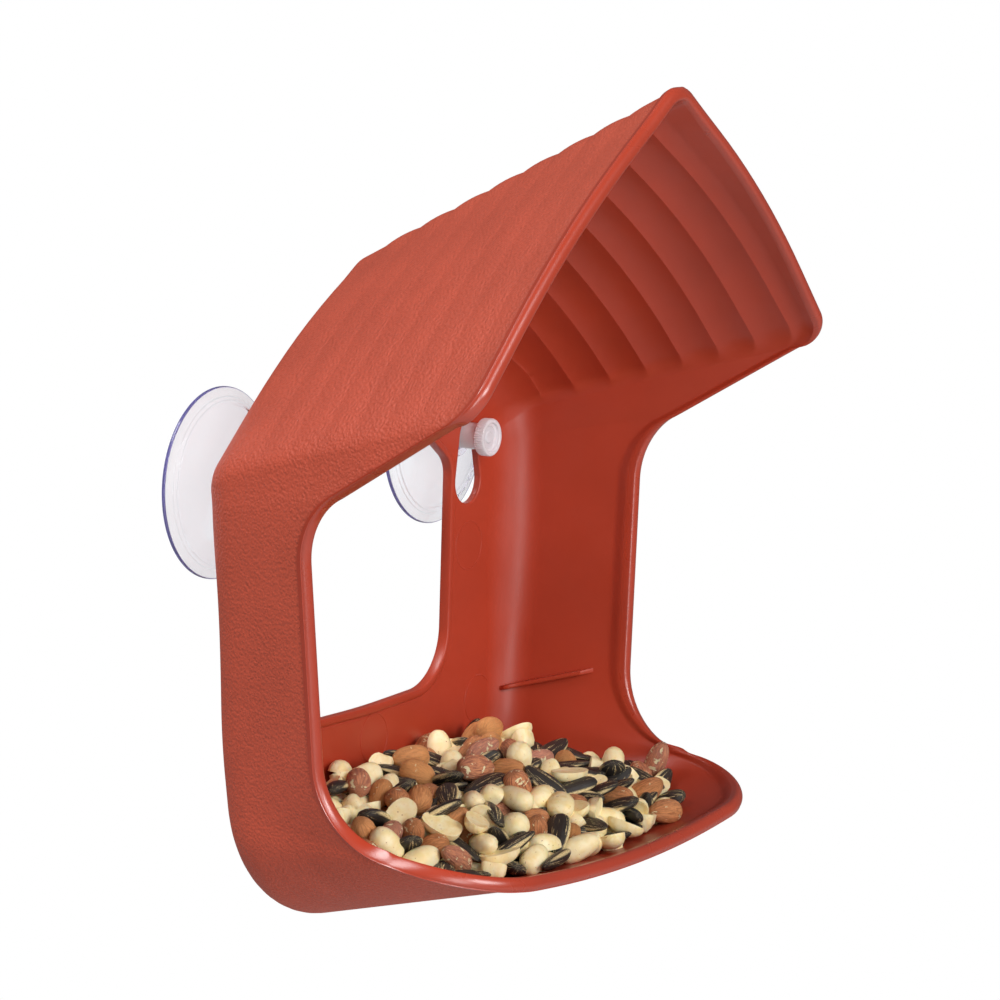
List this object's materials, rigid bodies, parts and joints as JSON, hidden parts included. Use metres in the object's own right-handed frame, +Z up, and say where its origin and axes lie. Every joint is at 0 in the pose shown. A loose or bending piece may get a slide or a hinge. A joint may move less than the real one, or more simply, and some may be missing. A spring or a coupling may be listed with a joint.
{
  "type": "window bird feeder",
  "caption": "House-shaped open-front bird feeder with a fluted gable roof, a rear window and a seed tray, hung by keyholes on suction cups with knurled thumb nuts.",
  "frame": {"origin": "on the window glass, midway between the two suction cups, level with the stud axes", "axes": "+X to the right seen from the front, +Y into the glass along the stud axes, +Z up; the feeder reaches out along -Y"},
  "size_m": [0.1808, 0.1084, 0.2161],
  "materials": {
    "shell": "fine pebble texture outside, smooth satin inside",
    "seed": "matt mixed peanuts and striped sunflower seeds",
    "clear_vinyl": "clear soft vinyl",
    "clear_plastic": "clear moulded plastic",
    "stud_steel": "zinc plated"
  },
  "bodies": {
    "cups_and_studs": {"suction_cup_left": "clear_vinyl", "suction_cup_right": "clear_vinyl", "stud_left": "stud_steel", "stud_right": "stud_steel"},
    "shell": {"feeder_body": "shell", "seed_mix": "seed"},
    "nut_left": {"thumb_nut_left": "clear_plastic"},
    "nut_right": {"thumb_nut_right": "clear_plastic"}
  },
  "joints": [
    {"name": "shell_lift", "type": "slide", "parent": "cups_and_studs", "child": "shell", "axis": [0, 0, 1], "range_m": [0, 0.0148]},
    {"name": "nut_left_turn", "type": "hinge", "parent": "cups_and_studs", "child": "nut_left", "pos_m": [-0.052, -0.0163, 0], "axis": [0, -1, 0], "continuous": true},
    {"name": "nut_right_turn", "type": "hinge", "parent": "cups_and_studs", "child": "nut_right", "pos_m": [0.052, -0.0163, 0], "axis": [0, -1, 0], "continuous": true}
  ]
}
